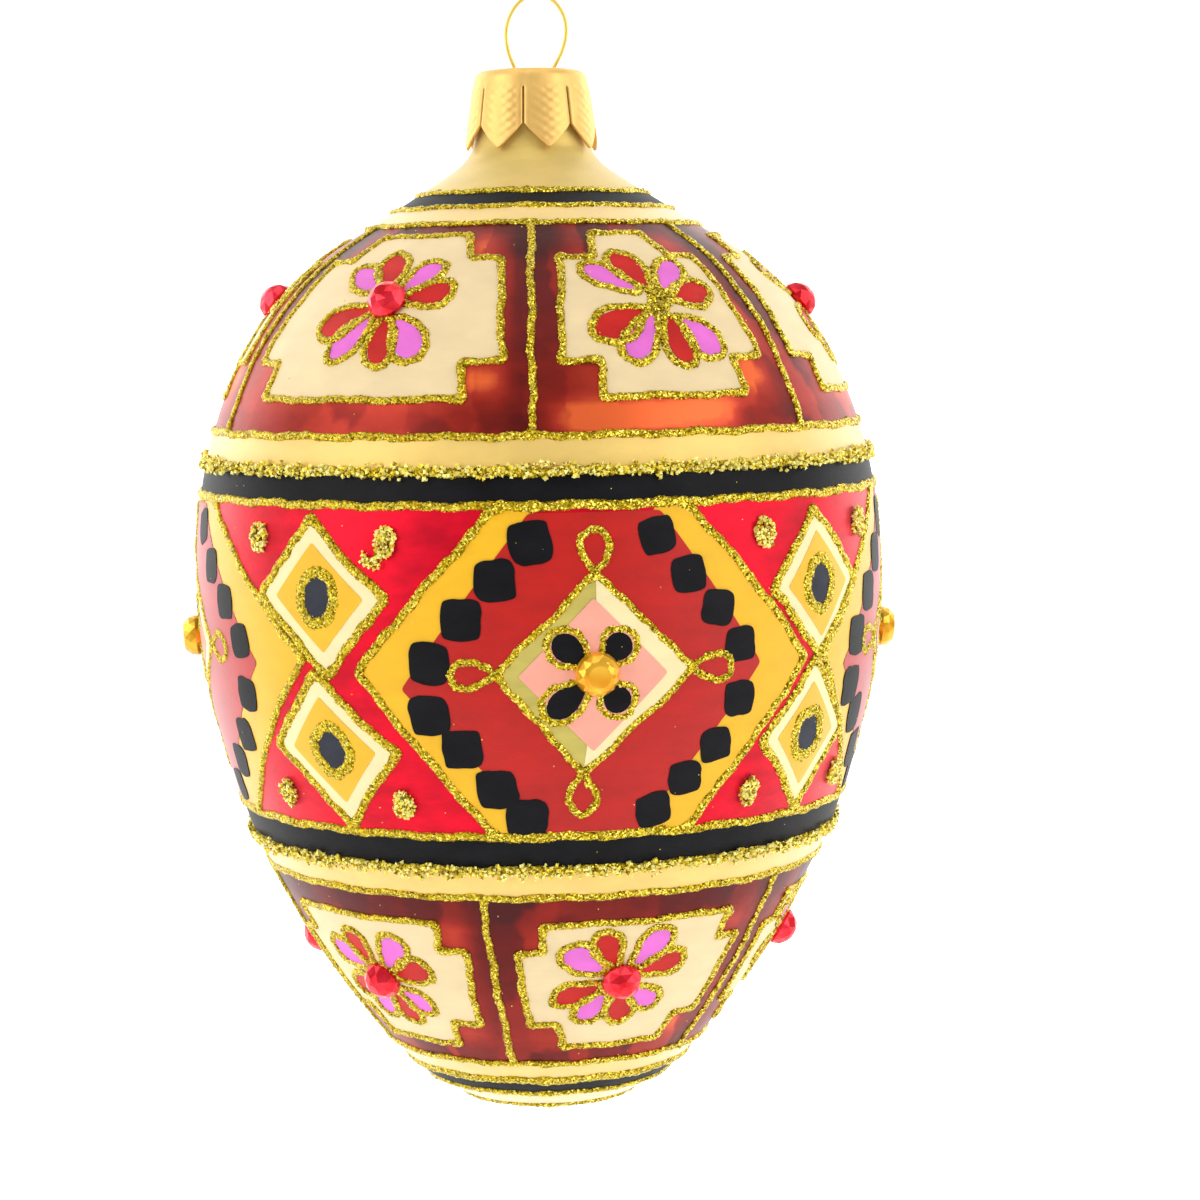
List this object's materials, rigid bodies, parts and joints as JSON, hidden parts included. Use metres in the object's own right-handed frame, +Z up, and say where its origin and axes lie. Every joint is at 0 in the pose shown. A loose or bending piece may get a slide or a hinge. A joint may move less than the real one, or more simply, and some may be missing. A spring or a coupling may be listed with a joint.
{
  "type": "hanging egg ornament",
  "caption": "Hanging painted glass egg with banded folk pattern, a gold crown cap, a wire hanger loop and glued glass stones.",
  "frame": {"origin": "inside of the hanger loop's top, the point the ornament hangs from", "axes": "+Z up along the egg's axis, from the narrow end to the loop; -Y is the front; +X is to the right seen from the front"},
  "size_m": [0.0736, 0.0732, 0.1142],
  "materials": {
    "hanger": "satin gold-coloured wire",
    "cap": "satin gold-coloured stamped sheet",
    "shell": "painted opaque, satin lacquer and glitter",
    "amber_stone": "polished",
    "red_stone": "polished, faceted"
  },
  "bodies": {
    "hanger": {"hanger_wire": "hanger"},
    "cap": {"cap": "cap"},
    "egg": {"glass_shell": "shell", "amber_stone_1": "amber_stone", "amber_stone_2": "amber_stone", "amber_stone_3": "amber_stone", "amber_stone_4": "amber_stone", "red_stone_upper_1": "red_stone", "red_stone_upper_2": "red_stone", "red_stone_upper_3": "red_stone", "red_stone_upper_4": "red_stone", "red_stone_upper_5": "red_stone", "red_stone_lower_1": "red_stone", "red_stone_lower_2": "red_stone", "red_stone_lower_3": "red_stone", "red_stone_lower_4": "red_stone", "red_stone_lower_5": "red_stone", "red_stone_lower_6": "red_stone"}
  },
  "joints": [
    {"name": "cap_lift", "type": "slide", "parent": "hanger", "child": "cap", "axis": [0, 0, 1], "range_m": [0, 0.0012]},
    {"name": "neck_pull", "type": "slide", "parent": "hanger", "child": "egg", "axis": [0, 0, -1], "range_m": [0, 0.02]}
  ]
}
